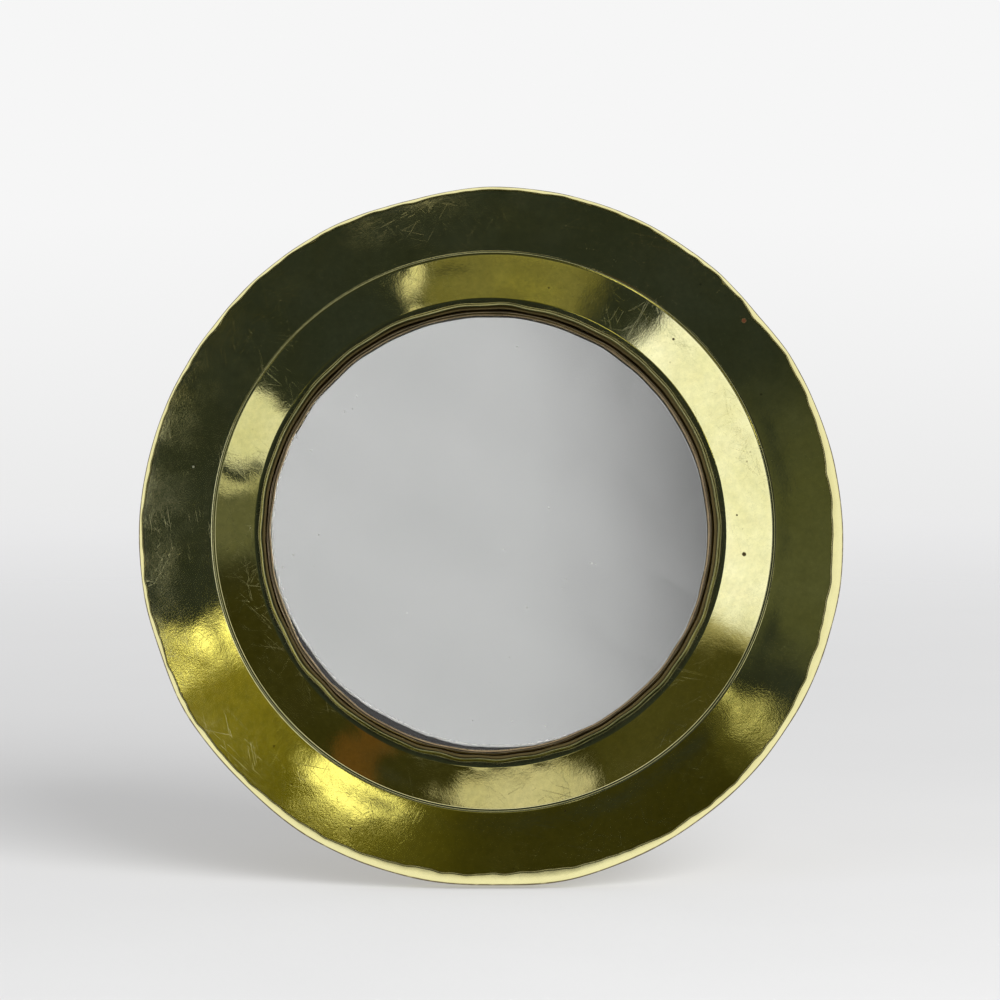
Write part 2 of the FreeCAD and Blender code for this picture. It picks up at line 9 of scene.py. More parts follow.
import bmesh
import bpy
import numpy as np
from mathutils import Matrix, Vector


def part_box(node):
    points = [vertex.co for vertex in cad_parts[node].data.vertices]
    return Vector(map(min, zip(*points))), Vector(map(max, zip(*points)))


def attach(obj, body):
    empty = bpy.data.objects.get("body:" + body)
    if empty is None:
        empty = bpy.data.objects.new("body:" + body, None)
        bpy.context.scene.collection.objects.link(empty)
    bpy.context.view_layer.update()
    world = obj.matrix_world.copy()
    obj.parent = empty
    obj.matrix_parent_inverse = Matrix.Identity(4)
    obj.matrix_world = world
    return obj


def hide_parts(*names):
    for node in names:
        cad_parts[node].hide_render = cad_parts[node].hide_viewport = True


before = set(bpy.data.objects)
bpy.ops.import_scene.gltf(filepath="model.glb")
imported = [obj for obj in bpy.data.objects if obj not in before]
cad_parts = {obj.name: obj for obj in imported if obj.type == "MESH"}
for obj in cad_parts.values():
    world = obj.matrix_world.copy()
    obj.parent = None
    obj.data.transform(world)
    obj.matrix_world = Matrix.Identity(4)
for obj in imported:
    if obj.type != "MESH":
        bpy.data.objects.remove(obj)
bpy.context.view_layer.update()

MM = 0.001

# How the mirror stands, and where its middle is, from the glass's own box
LEAN = math.radians(10.0)
GLASS_BACK = 5.4 * MM
GLASS_FRONT = 7.8 * MM
glass_low, glass_high = (np.array(corner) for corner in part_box("glass"))
glass_middle = (glass_low + glass_high) / 2.0
half_way = (GLASS_BACK + GLASS_FRONT) / 2.0
MIDDLE_Y = glass_middle[1] + half_way * math.cos(LEAN)
MIDDLE_Z = glass_middle[2] - half_way * math.sin(LEAN)

# Front shell
SHELL_GAUGE = 0.8 * MM
RIDGE_RADIUS = 82.9 * MM
RIDGE_HEIGHT = 15.6 * MM
RIDGE_SOFTNESS = 0.10 * MM
CREASE_HEIGHT = 0.030 * MM
CREASE_HALF_GAP = 0.48 * MM
CREASE_SPREAD = 0.075 * MM
WALL_FOOT_RADIUS = 70.0 * MM
WALL_FOOT_HEIGHT = 9.35 * MM
RIM_RADIUS = 105.0 * MM
BRIM_DROP = 5.4 * MM
BRIM_EDGE = 104.1 * MM
LIP_CREST_RADIUS = 67.8 * MM
LIP_CREST_HEIGHT = 10.0 * MM
LIP_EDGE_RADIUS = 66.5 * MM
LIP_ROLL = 1.35 * MM
LIP_BEAD_DEPTH = 0.75 * MM
LIP_BEAD_WIDTH = 0.62 * MM
BAND_SLOPE = 0.22           # of the sheet between the lip and the wall's foot
WALL_START = 1.5 * MM       # above the foot, where the wall's own rings of the mesh begin
CREST_REACH = 1.2 * MM      # the close rings on either side of the ridge
UNDER_LAP = 0.6 * MM        # how far the brim goes on under the lap
WALL_SLOPE = (RIDGE_HEIGHT - WALL_FOOT_HEIGHT) / (RIDGE_RADIUS - WALL_FOOT_RADIUS)
BRIM_SLOPE = BRIM_DROP / (RIM_RADIUS - RIDGE_RADIUS)

# Back pan
PAN_GAUGE = 0.7 * MM
PAN_BEND = 2.5 * MM
LAP_GAP = 0.05 * MM
LAP_BEVEL = math.radians(36.0)
LAP_ROUNDING = 1.1 * MM

# Glass, foil and bead ring
GLASS_RADIUS = 71.0 * MM
FOIL_RADIUS = 65.2 * MM
FOIL_SHIFT = (0.9 * MM, 1.0 * MM)
BEAD_RADIUS = 65.75 * MM
BEAD_SECTION = 0.95 * MM

# Iron wire under the lap: its middle's radius and height, and its own radius
RIM_WIRE_PLACE = (102.9 * MM, 8.0 * MM)
RIM_WIRE_SECTION = 1.05 * MM

TURN_STEPS = 720


# Hand-made unevenness, all of it smooth functions of place or of the angle round the mirror

def periodic(angle, knots):
    """Smooth closed curve through (degrees, value) knots: a raised-cosine blend between neighbours."""
    where = np.radians([knot[0] for knot in knots])
    value = np.array([knot[1] for knot in knots], dtype=float)
    turn = np.mod(angle, 2 * np.pi)
    where = np.concatenate([where, where[:1] + 2 * np.pi])
    value = np.concatenate([value, value[:1]])
    turn = np.where(turn < where[0], turn + 2 * np.pi, turn)
    after = np.clip(np.searchsorted(where, turn, side="right"), 1, len(where) - 1)
    share = (turn - where[after - 1]) / (where[after] - where[after - 1])
    share = (1 - np.cos(np.pi * np.clip(share, 0, 1))) / 2
    return value[after - 1] * (1 - share) + value[after] * share


def round_waves(angle, lowest, highest, seed):
    """Sum of cosines round the circle, whole numbers of waves from lowest to highest, about +-1."""
    draw = np.random.default_rng(seed)
    counts = np.arange(lowest, highest + 1)
    phases = draw.uniform(0, 2 * np.pi, len(counts))
    weights = draw.uniform(0.4, 1.0, len(counts))
    waves = np.cos(angle[..., None] * counts + phases) * weights
    return waves.sum(-1) / np.sqrt((weights ** 2).sum() / 2) / 2


def hammer_field(x, v, wavelength, seed, directions=14):
    """Sum of plane waves across the face, in random directions and near one wavelength, about +-1."""
    draw = np.random.default_rng(seed)
    total = np.zeros_like(x)
    for _ in range(directions):
        heading = draw.uniform(0, 2 * np.pi)
        length = wavelength * draw.uniform(0.75, 1.35)
        phase = draw.uniform(0, 2 * np.pi)
        total += np.cos((x * np.cos(heading) + v * np.sin(heading)) * 2 * np.pi / length + phase)
    return total / math.sqrt(directions / 2) / 2


# How far the outline leaves a true circle at each angle, in millimetres, going round from the right
RIM_LOBES = [(0, 0.0), (10, -0.4), (30, -1.0), (40, -1.9), (50, -1.3), (75, -1.0), (90, -1.1),
             (105, -2.4), (120, -1.5), (140, -1.7), (150, -1.4), (165, -1.0), (180, -0.6), (190, -0.5),
             (200, -0.9), (210, 0.1), (222, -0.5), (240, 0.1), (260, 0.0), (270, -0.4), (285, 0.7),
             (300, 0.5), (318, 0.5), (345, 0.3)]
RIDGE_DRIFT = (1.1 * MM, 0.0 * MM)
LIP_DRIFT = (-0.2 * MM, 0.15 * MM)


def rim_growth(angle):
    """Outline's departure from the true circle, in metres."""
    return periodic(angle, RIM_LOBES) * MM + round_waves(angle, 9, 22, 3) * 0.10 * MM


def in_place(radius, angle, height):
    """Takes radius, angle and height on the true form to world points of the uneven one.

    Rings of the face drift sideways: the lip by one shift, the ridge by another, the rim by none,
    the rim grows and shrinks round the circle, and the lip waves in and out. Then the whole leans.
    """
    knots = np.array([0.0, LIP_CREST_RADIUS, RIDGE_RADIUS, BRIM_EDGE, 2 * RIM_RADIUS])
    drift_x = np.interp(radius, knots, [0.0, LIP_DRIFT[0], RIDGE_DRIFT[0], 0.0, 0.0])
    drift_v = np.interp(radius, knots, [0.0, LIP_DRIFT[1], RIDGE_DRIFT[1], 0.0, 0.0])
    grown = radius + rim_growth(angle) * np.interp(radius, [RIDGE_RADIUS, BRIM_EDGE], [0.0, 1.0])
    near_lip = np.exp(-((radius - LIP_CREST_RADIUS) / (1.8 * MM)) ** 2)
    grown = grown + round_waves(angle, 8, 40, 13) * 0.26 * MM * near_lip
    x = grown * np.cos(angle) + drift_x
    v = grown * np.sin(angle) + drift_v
    x = np.clip(x, -RIM_RADIUS, RIM_RADIUS)
    return leaned(x, v, height)


def leaned(x, v, height, clamp=True):
    """Face coordinates to world: leaned back, and worn flat where it would go below the floor."""
    y = -height * math.cos(LEAN) + v * math.sin(LEAN) + MIDDLE_Y
    z = height * math.sin(LEAN) + v * math.cos(LEAN) + MIDDLE_Z
    return np.stack([x, y, np.maximum(z, 0.0) if clamp else z], axis=-1)


def wall_line(radius):
    """Height of the plain cone of the wall."""
    return WALL_FOOT_HEIGHT + WALL_SLOPE * (radius - WALL_FOOT_RADIUS)


def brim_line(radius):
    """Height of the plain cone of the brim."""
    return RIDGE_HEIGHT - BRIM_SLOPE * (radius - RIDGE_RADIUS)


def smooth_low(a, b, softness):
    """Smooth minimum of two heights."""
    low = np.minimum(a, b)
    return low - softness * np.log(np.exp(-(a - low) / softness) + np.exp(-(b - low) / softness))


def face_height(radius, angle):
    """Height of the front shell's outer surface, without its dents.

    The lower of wall and brim lines, softened at the ridge, with a slow wave there; a flatter band
    inside the wall's foot; and on it the lip, a parabola outside its crest and a quarter circle
    inside it.
    """
    ridge_wave = round_waves(angle, 5, 17, 11) * 0.08 * MM - 0.20 * MM
    sides = smooth_low(wall_line(radius), brim_line(radius), RIDGE_SOFTNESS)
    sides = sides + ridge_wave * np.exp(-((radius - RIDGE_RADIUS) / (6 * MM)) ** 2)
    # Two fine creases that the tool left, one on each side of the ridge
    for side in (-1, 1):
        off = radius - RIDGE_RADIUS - side * CREASE_HALF_GAP
        sides = sides + CREASE_HEIGHT * np.exp(-(off / CREASE_SPREAD) ** 2)
    # Inside the wall's foot the sheet dips gently, and the lip stands on it as a narrow bead
    sides = np.where(radius < WALL_FOOT_RADIUS,
                     sides + (WALL_SLOPE - BAND_SLOPE) * (WALL_FOOT_RADIUS - radius), sides)
    crest_height = LIP_CREST_HEIGHT + round_waves(angle, 7, 31, 5) * 0.10 * MM - 0.05 * MM
    past = radius - LIP_CREST_RADIUS
    rolled = np.clip(-past / LIP_ROLL, 0, 1)
    roll = crest_height - LIP_ROLL * (1 - np.sqrt(1 - (rolled * 0.995) ** 2))
    bead = crest_height - LIP_BEAD_DEPTH * (past / LIP_BEAD_WIDTH) ** 2
    whole = -smooth_low(-sides, -np.maximum(bead, sides - 2 * MM), 0.04 * MM)
    return np.where(past < 0, roll, whole)


def hammered(radius, angle):
    """Small dents over wall and brim, in metres of height."""
    x = radius * np.cos(angle)
    v = radius * np.sin(angle)
    wide = hammer_field(x, v, 24 * MM, 21) * 0.034 * MM
    close = hammer_field(x, v, 9 * MM, 22) * 0.0075 * MM
    fine = hammer_field(x, v, 3.6 * MM, 23) * 0.0016 * MM
    fade = np.interp(radius, [LIP_CREST_RADIUS, WALL_FOOT_RADIUS + 2 * MM], [0.2, 1.0])
    return (wide + close + fine) * fade


# Meshes

def grid_mesh(name, points, closed_profile, attributes=None):
    """A mesh from points[angle, profile], joined round the circle, and along the profile if closed."""
    turns, steps = points.shape[:2]
    index = np.arange(turns * steps).reshape(turns, steps)
    nxt = np.roll(index, -1, axis=0)
    if closed_profile:
        a, b = index, np.roll(index, -1, axis=1)
        c, d = np.roll(nxt, -1, axis=1), nxt
    else:
        a, b = index[:, :-1], index[:, 1:]
        c, d = nxt[:, 1:], nxt[:, :-1]
    faces = np.stack([a, d, c, b], axis=-1).reshape(-1, 4)
    return mesh_from(name, points.reshape(-1, 3), faces, attributes)


def mesh_from(name, vertices, faces, attributes=None):
    """Mesh data from whole arrays of corners and of faces with three or four corners each."""
    mesh = bpy.data.meshes.new(name)
    counts = (faces >= 0).sum(1)
    loops = faces[faces >= 0]
    mesh.vertices.add(len(vertices))
    mesh.vertices.foreach_set("co", np.ascontiguousarray(vertices, dtype=np.float32).ravel())
    mesh.loops.add(len(loops))
    mesh.loops.foreach_set("vertex_index", loops.astype(np.int32))
    mesh.polygons.add(len(faces))
    starts = np.concatenate([[0], np.cumsum(counts)[:-1]])
    mesh.polygons.foreach_set("loop_start", starts.astype(np.int32))
    for key, values in (attributes or {}).items():
        layer = mesh.attributes.new(key, "FLOAT", "POINT")
        layer.data.foreach_set("value", np.ascontiguousarray(values, dtype=np.float32).ravel())
    mesh.update(calc_edges=True)
    mesh.validate()
    mesh.polygons.foreach_set("use_smooth", np.ones(len(mesh.polygons), dtype=bool))
    return mesh


def add_piece(name, mesh, material, nodes, body="mirror"):
    """Links a mesh as a piece that rides on a body, gives it its finish and hides the nodes it replaces.
    """
    piece = bpy.data.objects.new(name, mesh)
    bpy.context.scene.collection.objects.link(piece)
    mesh.materials.append(material)
    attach(piece, body)
    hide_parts(*nodes)
    return piece


def angles():
    """Even turns round the mirror, as a column."""
    return np.linspace(0, 2 * np.pi, TURN_STEPS, endpoint=False)[:, None]


def sheet_loop(radius, height, gauge):
    """Closed section of a sheet: its outer face as given, its inner face offset by the gauge.

    The offset runs along the section's own normal, so bends keep their gauge. Returns radii and
    heights with the outer face first and the inner one after it, backwards.
    """
    dr = np.gradient(radius, axis=1)
    dh = np.gradient(height, axis=1)
    length = np.hypot(dr, dh)
    inner_r = radius + gauge * dh / length
    inner_h = height - gauge * dr / length
    return (np.concatenate([radius, inner_r[:, ::-1]], axis=1),
            np.concatenate([height, inner_h[:, ::-1]], axis=1))


def make_front_shell(material):
    """The hammered front, from the lip's inner edge to the brim's hidden one.

    The outer face is face_height plus the dents. The inner face is the outer one, lower by the
    gauge, cut off level under the lip and kept under the brim's line at the ridge.
    """
    angle = angles()
    band_end = WALL_FOOT_RADIUS + WALL_START
    crest_start = RIDGE_RADIUS - CREST_REACH
    crest_end = RIDGE_RADIUS + CREST_REACH
    lip = np.linspace(LIP_EDGE_RADIUS, LIP_CREST_RADIUS, 12)[:-1]
    band = LIP_CREST_RADIUS + (band_end - LIP_CREST_RADIUS) * np.linspace(0, 1, 23)[:-1] ** 1.3
    wall = np.linspace(band_end, crest_start, 13)[:-1]
    crest = np.linspace(crest_start, crest_end, 36)[:-1]
    brim = np.linspace(crest_end, BRIM_EDGE, 22)
    radius = np.concatenate([lip, band, wall, crest, brim])[None, :] + 0 * angle
    reach = RIM_RADIUS - lap_width(angle) + UNDER_LAP
    drawn_in = (reach - crest_end) / (BRIM_EDGE - crest_end)
    radius = np.where(radius > crest_end, crest_end + (radius - crest_end) * drawn_in, radius)
    round_angle = angle + 0 * radius
    height = face_height(radius, round_angle) + hammered(radius, round_angle)
    under_r = radius[:, ::3]
    under_h = height[:, ::3] - SHELL_GAUGE
    under_h = np.minimum(under_h, brim_line(under_r) - SHELL_GAUGE)
    under_h = np.where(under_r < WALL_FOOT_RADIUS, LIP_CREST_HEIGHT - LIP_ROLL - 0.05 * MM, under_h)
    under_h = np.where(under_r > RIDGE_RADIUS, height[:, ::3] - SHELL_GAUGE, under_h)
    whole_r = np.concatenate([radius, under_r[:, ::-1]], axis=1)
    whole_h = np.concatenate([height, under_h[:, ::-1]], axis=1)
    points = in_place(whole_r, angle + 0 * whole_r, whole_h)
    top = np.concatenate([np.ones_like(radius), np.zeros_like(under_r)], axis=1)
    ridge = np.exp(-((whole_r - RIDGE_RADIUS) / (0.8 * MM)) ** 2) * top
    lip_wear = np.exp(-((whole_r - LIP_CREST_RADIUS - 0.25 * MM) / (0.45 * MM)) ** 2) * top
    lip_line = np.exp(-((whole_r - LIP_CREST_RADIUS - 0.1 * MM) / (0.22 * MM)) ** 2) * top
    # Darkened in the crease at the wall's foot and over the lip's roll down to the glass: partly grime,
    # partly painted shade in these recesses
    grime_and_shade = 0.7 * np.exp(-((whole_r - WALL_FOOT_RADIUS + 1.0 * MM) / (0.5 * MM)) ** 2)
    grime_and_shade = grime_and_shade + 2.2 * np.clip((LIP_CREST_RADIUS - 0.22 * MM - whole_r) / (0.25 * MM), 0, 1)
    on_brim = np.clip((whole_r - RIDGE_RADIUS) / (1.0 * MM), 0, 1)
    mesh = grid_mesh("hammered_front", points, True,
                     attributes={"wear": ridge + lip_wear, "grime_and_shade": grime_and_shade, "lip": lip_line,
                                 "brim": on_brim})
    return add_piece("hammered_front", mesh, material, ["front_shell"])


# Width in millimetres of the lapped edge that shows, going round from the right
LAP_WIDTHS = [(0, 3.7), (9, 3.4), (17, 2.2), (32, 1.6), (55, 1.25), (90, 1.15), (140, 1.05),
              (180, 1.15), (200, 1.2), (215, 1.5), (240, 2.2), (258, 3.2), (275, 3.6), (292, 2.8),
              (305, 1.9), (325, 2.0), (340, 2.9), (350, 3.6)]


def lap_width(angle):
    """How far the lapped edge reaches over the brim: widest at the right, ragged everywhere."""
    drawn = periodic(angle, LAP_WIDTHS) * MM
    ragged = round_waves(angle, 20, 75, 31) * 0.28 * MM + round_waves(angle, 80, 150, 32) * 0.09 * MM
    return np.clip(drawn * (1 + 0.1 * round_waves(angle, 7, 19, 33)) + ragged, 0.8 * MM, 4.4 * MM)


def arc(centre_r, centre_h, bend, start, end, count):
    """Points of an arc in the section, from one angle to another, ends included."""
    sweep = np.linspace(start, end, count)
    return centre_r + bend * np.cos(sweep), centre_h + bend * np.sin(sweep)


def make_back_pan(material):
    """Flat back, bend, skirt and the ragged lap; outer face first, then the inside.

    The lap is B(s) = (1-s)^2 foot + 2 s (1-s) corner + s^2 edge, the edge lying on the brim.
    """
    angle = angles()
    flat = np.linspace(0.0, RIM_RADIUS - PAN_BEND, 28)
    r1, h1 = arc(RIM_RADIUS - PAN_BEND, PAN_BEND, PAN_BEND, -np.pi / 2, 0, 9)
    share = np.linspace(0, 1, 26)[None, :]
    width = lap_width(angle)
    edge_h = brim_line(RIM_RADIUS - width) + LAP_GAP + PAN_GAUGE - 0.15 * MM
    corner_h = edge_h - math.tan(LAP_BEVEL) * width
    foot_h = corner_h - LAP_ROUNDING
    lap_r = RIM_RADIUS - width * share ** 2
    lap_h = (1 - share) ** 2 * foot_h + 2 * share * (1 - share) * corner_h + share ** 2 * edge_h
    lap_h = lap_h + hammered(lap_r, angle + 0 * lap_r) * share
    up_skirt = np.linspace(0, 1, 7)[None, 1:-1]
    skirt_h = PAN_BEND + (foot_h - PAN_BEND) * up_skirt
    fixed_r = np.concatenate([flat[:-1], r1])
    fixed_h = np.concatenate([0 * flat[:-1], h1])
    radius = np.concatenate([fixed_r[None, :] + 0 * angle, RIM_RADIUS + 0 * skirt_h, lap_r], axis=1)
    height = np.concatenate([fixed_h[None, :] + 0 * angle, skirt_h, lap_h], axis=1)
    dent = hammer_field(radius * np.cos(angle), radius * np.sin(angle), 30 * MM, 41) * 0.12 * MM
    dent = np.abs(dent) * np.clip((RIM_RADIUS - PAN_BEND - radius) / (6 * MM), 0, 1)
    flat_zone = (np.arange(radius.shape[1]) < len(flat))[None, :]
    height = height + np.where(flat_zone, dent, 0)
    radius = radius + np.where(flat_zone, 0, round_waves(angle, 11, 40, 43) * 0.05 * MM
                               - 0.05 * MM) * (radius > RIM_RADIUS - PAN_BEND * 0.5)
    whole_r, whole_h = sheet_loop(radius, height, -PAN_GAUGE)
    whole_r = np.maximum(whole_r, 0)
    points = in_place(whole_r, angle + 0 * whole_r, whole_h)
    count = radius.shape[1]
    step = np.arange(whole_r.shape[1])
    bend_wear = np.exp(-((step - (len(flat) + 6)) / 3.0) ** 2)
    edge_wear = bend_wear + np.exp(-((step - count + 12) / 9.0) ** 2)
    # Painted shade, not dirt: a dark line at the lap's ragged edge, the skirt darkened, and a dark line
    # round the outermost rim, all given to the attribute that darkens the front's creases
    painted_rim_shade = np.exp(-((step - count) / 0.8) ** 2)
    side = (step > len(flat) + 9) & (step < count - 24)
    rear = np.clip((count - 22 - step) / 2.0, 0, 1)
    painted_rim_shade = np.where(side, 0.8, painted_rim_shade)
    outmost = np.clip((whole_r - RIM_RADIUS + 0.45 * MM) / (0.12 * MM), 0, 1) * (step > len(flat) + 9)
    painted_rim_shade = np.maximum(painted_rim_shade[None, :], 1.4 * outmost)
    mesh = grid_mesh("lapped_pan", points, False,
                     attributes={"wear": edge_wear[None, :] + 0 * whole_r,
                                 "grime_and_shade": painted_rim_shade,
                                 "brim": np.ones_like(whole_r), "radius": whole_r / MM,
                                 "rear": rear[None, :] + 0 * whole_r})
    piece = add_piece("lapped_pan", mesh, material, ["back_pan"])
    close_poles(mesh)
    return piece


def close_poles(mesh):
    """Merges the rings of points that lie on one spot at the middle of a turned piece."""
    data = bmesh.new()
    data.from_mesh(mesh)
    bmesh.ops.remove_doubles(data, verts=data.verts, dist=1e-7)
    data.to_mesh(mesh)
    data.free()


def make_bead_ring(material):
    """Slightly uneven half-round ring just inside the lip, its thickness and place waving round the
    circle.
    """
    angle = angles()
    turn = np.linspace(0, 2 * np.pi, 20, endpoint=False)[None, :]
    section = BEAD_SECTION * (1 + 0.07 * round_waves(angle, 9, 44, 51))
    centre = BEAD_RADIUS + round_waves(angle, 5, 33, 52) * 0.13 * MM
    radius = centre + section * np.cos(turn)
    low = GLASS_FRONT + 0.02 * MM
    height = np.maximum(low + section * np.sin(turn) * 0.95, low)
    points = in_place(radius, angle + 0 * radius, height)
    # Painted shade: the ring's inner side, towards the glass, is darkened
    inner = np.clip((BEAD_RADIUS - radius) / BEAD_SECTION, 0, 1)
    crown = np.clip(np.sin(turn), 0, 1) + 0 * radius
    mesh = grid_mesh("bead_ring", points[:, ::-1], True,
                     attributes={"wear": crown[:, ::-1], "grime_and_shade": inner[:, ::-1] * 0.6})
    return add_piece("bead_ring", mesh, material, ["bezel_ring"])


def make_rim_ring(material):
    """Iron wire ring shut in under the lap, round in section, following the uneven rim."""
    angle = angles()
    turn = np.linspace(0, 2 * np.pi, 14, endpoint=False)[None, :]
    radius = RIM_WIRE_PLACE[0] + RIM_WIRE_SECTION * np.cos(turn) + 0 * angle
    height = RIM_WIRE_PLACE[1] + RIM_WIRE_SECTION * np.sin(turn) + 0 * angle
    points = in_place(radius, angle + 0 * radius, height)
    mesh = grid_mesh("rim_ring", points[:, ::-1], True)
    return add_piece("rim_ring", mesh, material, ["rim_wire"])


def disc_points(radii, heights, angle):
    """Plain disc section turned round: no drift, only the lean."""
    return leaned(radii * np.cos(angle), radii * np.sin(angle), heights)


def make_glass(material):
    """Hand-cut plate: its front swells and dips by hundredths of a millimetre, its edge is ground."""
    angle = angles()
    front_r = np.linspace(0, GLASS_RADIUS - 0.3 * MM, 60)
    back_r = np.linspace(GLASS_RADIUS - 0.3 * MM, 0, 12)
    radius = np.concatenate([front_r, [GLASS_RADIUS, GLASS_RADIUS], back_r])[None, :] + 0 * angle
    front_h = np.full_like(front_r, GLASS_FRONT)
    back_h = np.full_like(back_r, GLASS_BACK)
    edge_h = [GLASS_FRONT - 0.3 * MM, GLASS_BACK + 0.3 * MM]
    height = np.concatenate([front_h, edge_h, back_h])[None, :] + 0 * angle
    x = radius * np.cos(angle)
    v = radius * np.sin(angle)
    swell = hammer_field(x, v, 46 * MM, 61) * 0.016 * MM
    swell = swell + hammer_field(x, v, 24 * MM, 62) * 0.003 * MM
    swell = np.where(np.arange(radius.shape[1])[None, :] < len(front_r), -np.abs(swell), 0)
    points = disc_points(radius, height + swell, angle)
    mesh = grid_mesh("mirror_plate", points[:, ::-1], False)
    piece = add_piece("mirror_plate", mesh, material, ["glass"])
    close_poles(mesh)
    return piece


def make_foil(material):
    """Thin foil, torn short at the lower left, with a ragged edge all round."""
    angle = angles()
    torn = periodic(angle, [(0, 0.5), (60, 0.4), (150, 1.1), (190, 0.9), (222, -0.1), (243, -1.0),
                            (262, -0.4), (300, 0.7)]) * MM
    ragged = round_waves(angle, 12, 60, 71) * 0.10 * MM + round_waves(angle, 70, 160, 72) * 0.05 * MM
    edge = FOIL_RADIUS + torn + ragged
    share = np.concatenate([np.linspace(0, 0.93, 30), np.linspace(0.94, 1.0, 10)])[None, :]
    top = GLASS_BACK - 0.02 * MM
    under = GLASS_BACK - 0.10 * MM
    radius = np.concatenate([share * edge, (share * edge)[:, ::-4]], axis=1)
    under_count = radius.shape[1] - share.shape[1]
    height = np.concatenate([0 * share + top, np.full((1, under_count), under)], axis=1) + 0 * radius
    x = radius * np.cos(angle) + FOIL_SHIFT[0]
    v = radius * np.sin(angle) + FOIL_SHIFT[1]
    points = leaned(x, v, height)
    from_edge = (edge - radius) / MM
    mesh = grid_mesh("torn_foil", points[:, ::-1], False, attributes={"from_edge": from_edge[:, ::-1]})
    piece = add_piece("torn_foil", mesh, material, ["silvering"])
    close_poles(mesh)
    return piece


# Finishes

def fill_ramp(bar, stops):
    """Gives a colour ramp its stops, each (place, (r, g, b)) or (place, level)."""
    while len(bar.elements) < len(stops):
        bar.elements.new(0.5)
    for element, (place, colour) in zip(bar.elements, stops):
        element.position = place
        level = colour if isinstance(colour, tuple) else (colour, colour, colour)
        element.color = (*level, 1.0)


class Finish:
    """A node material being put together: one Principled shader and the nodes that feed it."""

    def __init__(self, name):
        self.material = bpy.data.materials.new(name)
        self.material.use_nodes = True
        self.tree = self.material.node_tree
        self.shader = self.tree.nodes["Principled BSDF"]
        self.place = self.add("ShaderNodeTexCoord").outputs["Object"]

    def add(self, kind, **settings):
        node = self.tree.nodes.new(kind)
        for key, value in settings.items():
            setattr(node, key, value)
        return node

    def join(self, output, entry):
        self.tree.links.new(output, entry)

    def noise(self, scale, detail=3.0, roughness=0.5, distortion=0.0, stretch=None, turn=0.0):
        """Cloudy pattern with about this many cells to the metre."""
        node = self.add("ShaderNodeTexNoise")
        node.inputs["Scale"].default_value = scale
        node.inputs["Detail"].default_value = detail
        node.inputs["Roughness"].default_value = roughness
        node.inputs["Distortion"].default_value = distortion
        source = self.place
        if turn:
            turning = self.add("ShaderNodeMapping")
            turning.inputs["Rotation"].default_value = (0.0, math.radians(turn), 0.0)
            self.join(source, turning.inputs["Vector"])
            source = turning.outputs["Vector"]
        if stretch is not None:
            mapping = self.add("ShaderNodeMapping")
            mapping.inputs["Scale"].default_value = stretch
            self.join(source, mapping.inputs["Vector"])
            source = mapping.outputs["Vector"]
        self.join(source, node.inputs["Vector"])
        return node.outputs["Fac"]

    def cells(self, scale):
        """Distance to the nearest of scattered points, about this many to the metre."""
        node = self.add("ShaderNodeTexVoronoi")
        node.inputs["Scale"].default_value = scale
        self.join(self.place, node.inputs["Vector"])
        return node.outputs["Distance"]

    def spot(self, right, up, radius):
        """1 within a round spot of the face, given from the mirror's middle, and 0 outside it."""
        flat = self.add("ShaderNodeVectorMath", operation="MULTIPLY")
        flat.inputs[1].default_value = (1.0, 0.0, 1.0)
        self.join(self.place, flat.inputs[0])
        gap = self.add("ShaderNodeVectorMath", operation="DISTANCE")
        gap.inputs[1].default_value = (right, 0.0, MIDDLE_Z + up)
        self.join(flat.outputs["Vector"], gap.inputs[0])
        return self.ramp(self.maths("DIVIDE", gap.outputs["Value"], radius), [(0.6, 1.0), (0.95, 0.0)])

    def attribute(self, name):
        return self.add("ShaderNodeAttribute", attribute_name=name).outputs["Fac"]

    def ramp(self, entry, stops):
        """Colours or grey levels along a value: stops are (place, (r, g, b)) or (place, level)."""
        node = self.add("ShaderNodeValToRGB")
        fill_ramp(node.color_ramp, stops)
        self.join(entry, node.inputs["Fac"])
        return node.outputs["Color"]

    def mix(self, share, first, second):
        """Blend of two colours or sockets, share being a socket or a number."""
        node = self.add("ShaderNodeMix", data_type="RGBA")
        for entry, value in ((node.inputs[0], share), (node.inputs[6], first), (node.inputs[7], second)):
            if isinstance(value, (tuple, float, int)):
                entry.default_value = (*value, 1.0) if isinstance(value, tuple) else value
            else:
                self.join(value, entry)
        return node.outputs[2]

    def maths(self, operation, first, second=0.0, clamp=False):
        node = self.add("ShaderNodeMath", operation=operation, use_clamp=clamp)
        for entry, value in zip(node.inputs, (first, second)):
            if isinstance(value, (float, int)):
                entry.default_value = value
            else:
                self.join(value, entry)
        return node.outputs[0]

    def bump(self, height, distance, strength=1.0, after=None):
        """Dents of about the given depth in metres, on top of an earlier bump if there is one."""
        node = self.add("ShaderNodeBump")
        node.inputs["Strength"].default_value = strength
        node.inputs["Distance"].default_value = distance
        self.join(height, node.inputs["Height"])
        if after is not None:
            self.join(after, node.inputs["Normal"])
        return node.outputs["Normal"]

    def set(self, **values):
        """Sets the shader's own sockets by their words, such as Metallic or Base_Color."""
        for key, value in values.items():
            entry = self.shader.inputs[key.replace("_", " ")]
            if isinstance(value, (float, int)):
                entry.default_value = value
            elif isinstance(value, tuple):
                entry.default_value = (*value, 1.0)
            else:
                self.join(value, entry)


BRIGHT_BRASS = (0.82, 0.775, 0.36)
OLIVE_BRASS = (0.70, 0.66, 0.26)
BROWN_BRASS = (0.50, 0.41, 0.14)
# DARK_BRASS colours real pits and spots, and also the painted shade in creases and along the rim
DARK_BRASS = (0.13, 0.10, 0.035)
GREEN_MOTTLE = (0.30, 0.33, 0.16)
BACK_STAIN = (0.34, 0.26, 0.10)
BACK_BROWN = (0.50, 0.41, 0.15)

# Turn in degrees in the plane of the face, cells to the metre across and along
SCRATCHES = [(12, 1500, 60), (47, 1900, 90), (79, 1300, 50), (118, 1700, 110), (151, 1400, 70)]


